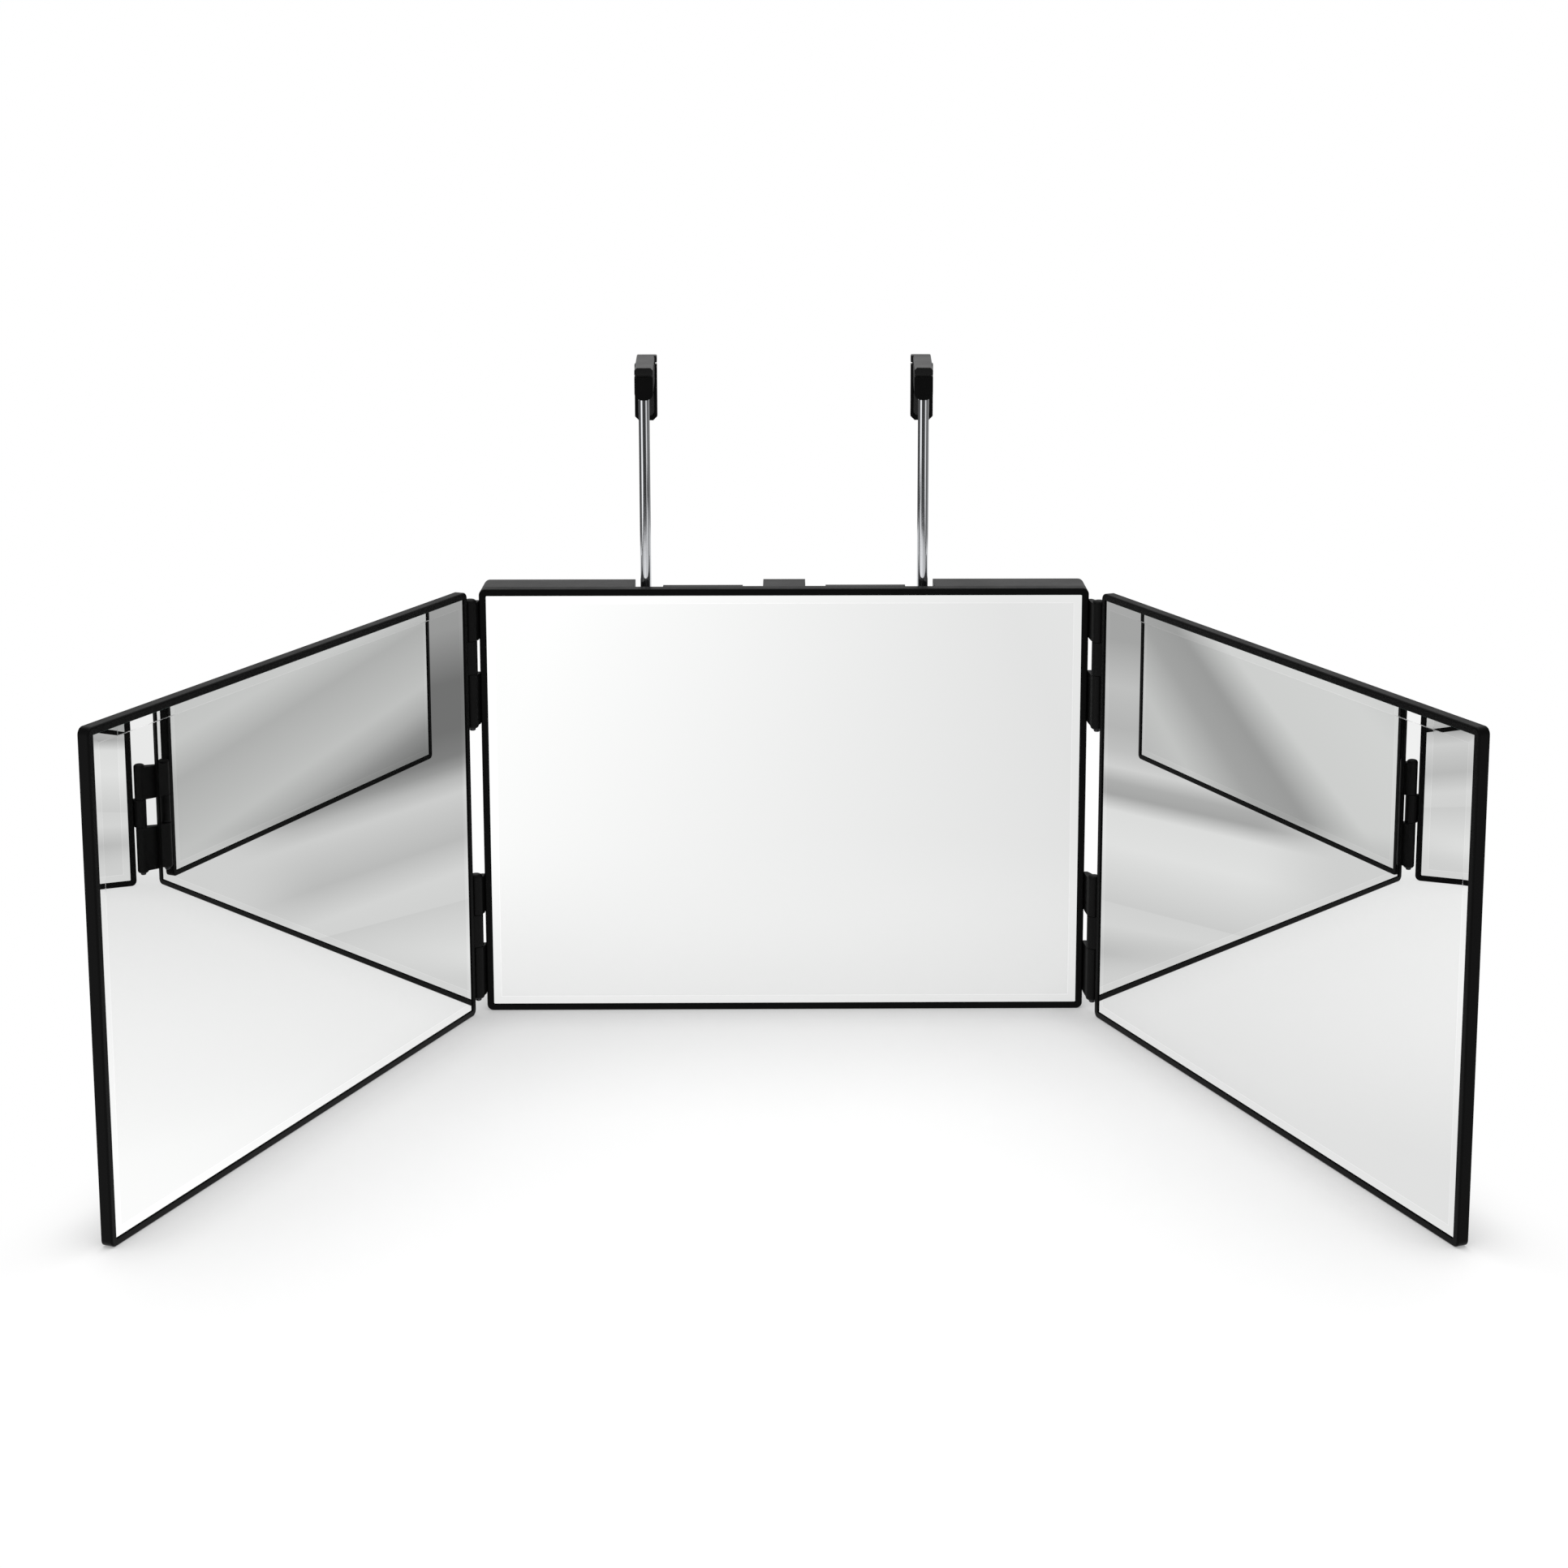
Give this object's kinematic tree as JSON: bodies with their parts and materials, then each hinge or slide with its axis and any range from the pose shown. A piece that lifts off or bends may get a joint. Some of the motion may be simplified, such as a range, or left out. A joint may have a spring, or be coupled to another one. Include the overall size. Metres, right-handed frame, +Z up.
{
  "type": "trifold vanity mirror",
  "caption": "Trifold vanity mirror: a deep centre panel, a wing mirror hinged to each side, and sliding rods with turning hooks that hang it over a door.",
  "frame": {"origin": "middle of the centre panel's base, half way through the centre unit's depth, on the surface that it stands on", "axes": "+Z up, +X towards the right wing as the viewer sees it, +Y away from the viewer through the centre panel's back"},
  "size_m": [0.5344, 0.3492, 0.313],
  "materials": {
    "frame_black": "satin black moulded ABS",
    "hinge_black": "satin black moulded nylon",
    "hook_black": "semi-gloss black moulded ABS",
    "mirror_glass": "silvered glass with a ground bevel",
    "chrome_rod": "polished chrome plate",
    "tube_steel": "drawn steel tube",
    "steel": "zinc-plated steel",
    "bush_nylon": "black nylon",
    "foam_pad": "dense black foam rubber",
    "adhesive": "double-sided adhesive foam sheet"
  },
  "bodies": {
    "centre": {"back_housing": "frame_black", "centre_frame": "frame_black", "centre_hinge_screws": "steel", "centre_mirror": "mirror_glass", "centre_mirror_tape": "adhesive", "housing_screws": "steel", "left_guide_tube": "tube_steel", "left_lower_centre_leaf": "hinge_black", "left_lower_hinge_pin": "steel", "left_rod_bush": "bush_nylon", "left_upper_centre_leaf": "hinge_black", "left_upper_hinge_pin": "steel", "right_guide_tube": "tube_steel", "right_lower_centre_leaf": "hinge_black", "right_lower_hinge_pin": "steel", "right_rod_bush": "bush_nylon", "right_upper_centre_leaf": "hinge_black", "right_upper_hinge_pin": "steel"},
    "left_hook": {"left_hook_body": "hook_black", "left_hook_cap": "hook_black", "left_hook_pad": "foam_pad"},
    "left_wing": {"left_lower_wing_leaf": "hinge_black", "left_upper_wing_leaf": "hinge_black", "left_wing_frame": "frame_black", "left_wing_hinge_screws": "steel", "left_wing_mirror": "mirror_glass", "left_wing_mirror_tape": "adhesive"},
    "left_rod": {"left_rod": "chrome_rod", "left_rod_stop": "bush_nylon", "left_swivel_clip": "steel"},
    "right_hook": {"right_hook_body": "hook_black", "right_hook_cap": "hook_black", "right_hook_pad": "foam_pad"},
    "right_wing": {"right_lower_wing_leaf": "hinge_black", "right_upper_wing_leaf": "hinge_black", "right_wing_frame": "frame_black", "right_wing_hinge_screws": "steel", "right_wing_mirror": "mirror_glass", "right_wing_mirror_tape": "adhesive"},
    "right_rod": {"right_rod": "chrome_rod", "right_rod_stop": "bush_nylon", "right_swivel_clip": "steel"}
  },
  "joints": [
    {"name": "left_wing_fold", "type": "hinge", "parent": "centre", "child": "left_wing", "pos_m": [-0.149, -0.01475, 0], "axis": [0, 0, 1], "range_deg": [-67, 113]},
    {"name": "left_rod_slide", "type": "slide", "parent": "centre", "child": "left_rod", "axis": [0, 0, 1], "range_m": [-0.104, 0.0597]},
    {"name": "left_hook_swivel", "type": "hinge", "parent": "left_rod", "child": "left_hook", "pos_m": [-0.0664, 0.00325, 0.2977], "axis": [0, 0, 1], "range_deg": [-91.8, 0]},
    {"name": "right_wing_fold", "type": "hinge", "parent": "centre", "child": "right_wing", "pos_m": [0.149, -0.02035, 0], "axis": [0, 0, -1], "range_deg": [-67, 113]},
    {"name": "right_rod_slide", "type": "slide", "parent": "centre", "child": "right_rod", "axis": [0, 0, 1], "range_m": [-0.104, 0.0597]},
    {"name": "right_hook_swivel", "type": "hinge", "parent": "right_rod", "child": "right_hook", "pos_m": [0.0664, 0.00325, 0.2977], "axis": [0, 0, -1], "range_deg": [-91.8, 0]}
  ]
}
